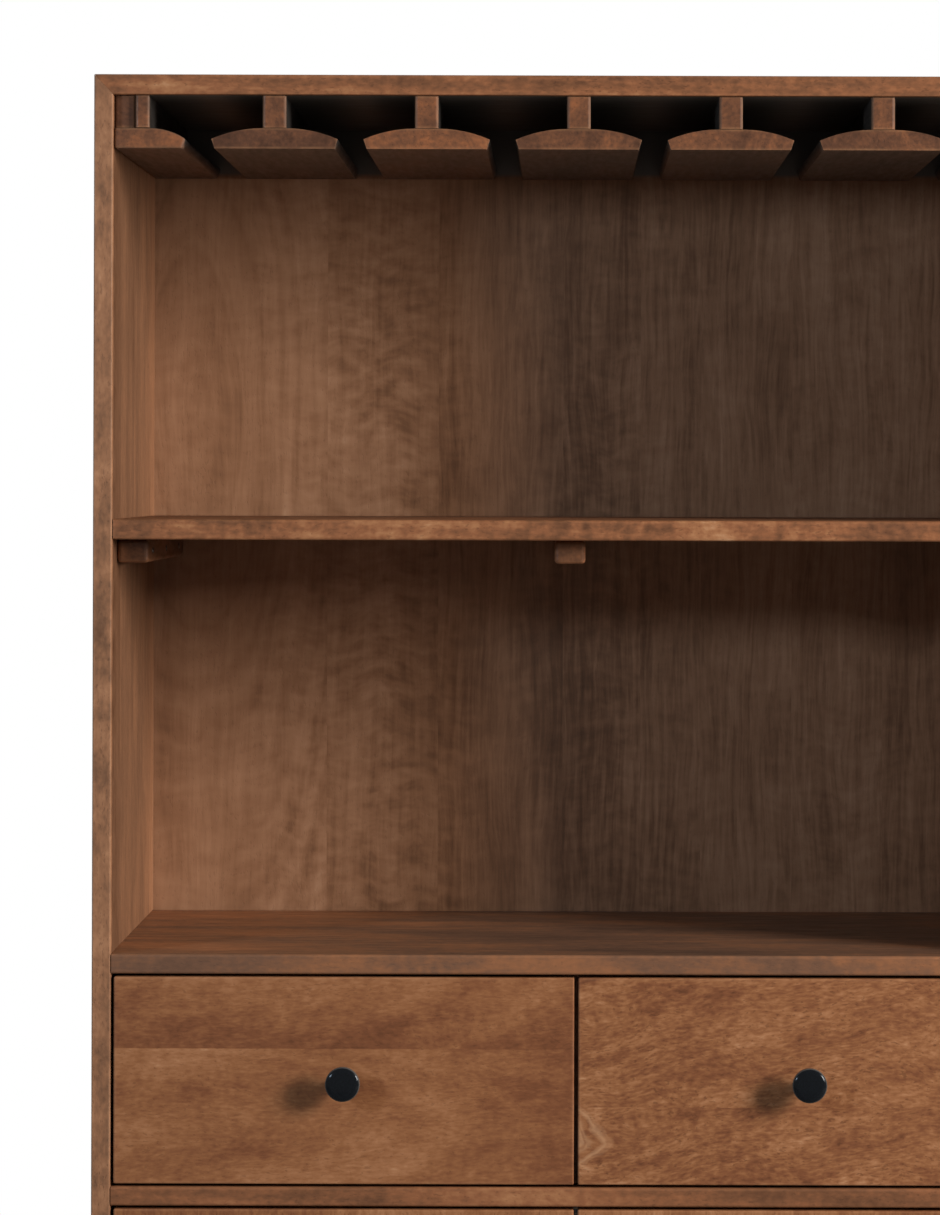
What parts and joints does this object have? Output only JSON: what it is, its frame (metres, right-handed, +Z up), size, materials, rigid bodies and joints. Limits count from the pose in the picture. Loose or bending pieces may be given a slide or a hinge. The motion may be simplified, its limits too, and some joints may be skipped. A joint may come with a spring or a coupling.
{
  "type": "bar cabinet",
  "caption": "Tall wooden bar cabinet with a stemware rack under its top, an open bay with a shelf, a serving deck, side-by-side drawers and a cupboard with doors below.",
  "frame": {"origin": "on the floor, under the middle of the outer box, which includes the knobs", "axes": "+Z up, -Y out of the front, +X to the right of a person who faces the front"},
  "size_m": [0.9, 0.427, 1.7],
  "materials": {
    "mango_carcass": "stained mango wood, satin lacquer",
    "mango_rack": "stained mango wood, satin lacquer",
    "mango_shelf": "stained mango wood, satin lacquer",
    "mango_front": "stained mango wood, satin lacquer",
    "mango_veneer": "stained veneer, satin lacquer",
    "drawer_wood": "plain lacquered wood",
    "black_iron": "black, semi-gloss",
    "dark_steel": "dark bronzed steel",
    "black_plastic": "matte black"
  },
  "bodies": {
    "carcass": {"side_panel_left": "mango_carcass", "side_panel_right": "mango_carcass", "top_panel": "mango_carcass", "bar_deck": "mango_carcass", "dust_panel": "mango_carcass", "bottom_panel": "mango_carcass", "back_panel": "mango_veneer", "drawer_divider": "mango_carcass", "plinth_board": "mango_carcass", "rack_stem_end_left": "mango_rack", "rack_stem_1": "mango_rack", "rack_stem_2": "mango_rack", "rack_stem_3": "mango_rack", "rack_stem_4": "mango_rack", "rack_stem_5": "mango_rack", "rack_stem_end_right": "mango_rack", "rack_spacer_left": "mango_rack", "rack_spacer_right": "mango_rack", "rack_flange_end_left": "mango_rack", "rack_flange_1": "mango_rack", "rack_flange_2": "mango_rack", "rack_flange_3": "mango_rack", "rack_flange_4": "mango_rack", "rack_flange_5": "mango_rack", "rack_flange_end_right": "mango_rack", "middle_shelf": "mango_shelf", "shelf_cleat_left": "mango_shelf", "shelf_cleat_right": "mango_shelf", "shelf_batten_middle": "mango_shelf", "cupboard_shelf": "mango_shelf", "drawer_left_outer_runner": "mango_carcass", "drawer_left_inner_runner": "mango_carcass", "drawer_right_outer_runner": "mango_carcass", "drawer_right_inner_runner": "mango_carcass", "door_left_upper_frame_leaf": "dark_steel", "door_left_lower_frame_leaf": "dark_steel", "door_right_upper_frame_leaf": "dark_steel", "door_right_lower_frame_leaf": "dark_steel", "door_catch": "black_plastic"},
    "drawer_left": {"drawer_left_front": "mango_front", "drawer_left_outer_side": "drawer_wood", "drawer_left_inner_side": "drawer_wood", "drawer_left_back": "drawer_wood", "drawer_left_bottom": "drawer_wood", "drawer_left_knob": "black_iron"},
    "drawer_right": {"drawer_right_front": "mango_front", "drawer_right_outer_side": "drawer_wood", "drawer_right_inner_side": "drawer_wood", "drawer_right_back": "drawer_wood", "drawer_right_bottom": "drawer_wood", "drawer_right_knob": "black_iron"},
    "door_left": {"door_left_panel": "mango_front", "door_left_knob": "black_iron", "door_left_upper_door_leaf": "dark_steel", "door_left_lower_door_leaf": "dark_steel"},
    "door_right": {"door_right_panel": "mango_front", "door_right_knob": "black_iron", "door_right_upper_door_leaf": "dark_steel", "door_right_lower_door_leaf": "dark_steel"}
  },
  "joints": [
    {"name": "drawer_left_slide", "type": "slide", "parent": "carcass", "child": "drawer_left", "axis": [0, -1, 0], "range_m": [0, 0.27]},
    {"name": "drawer_right_slide", "type": "slide", "parent": "carcass", "child": "drawer_right", "axis": [0, -1, 0], "range_m": [0, 0.27]},
    {"name": "door_left_hinge", "type": "hinge", "parent": "carcass", "child": "door_left", "pos_m": [-0.4305, -0.1898, 0.3848], "axis": [0, 0, -1], "range_deg": [0, 170]},
    {"name": "door_right_hinge", "type": "hinge", "parent": "carcass", "child": "door_right", "pos_m": [0.4305, -0.1898, 0.3848], "axis": [0, 0, 1], "range_deg": [0, 170]}
  ]
}
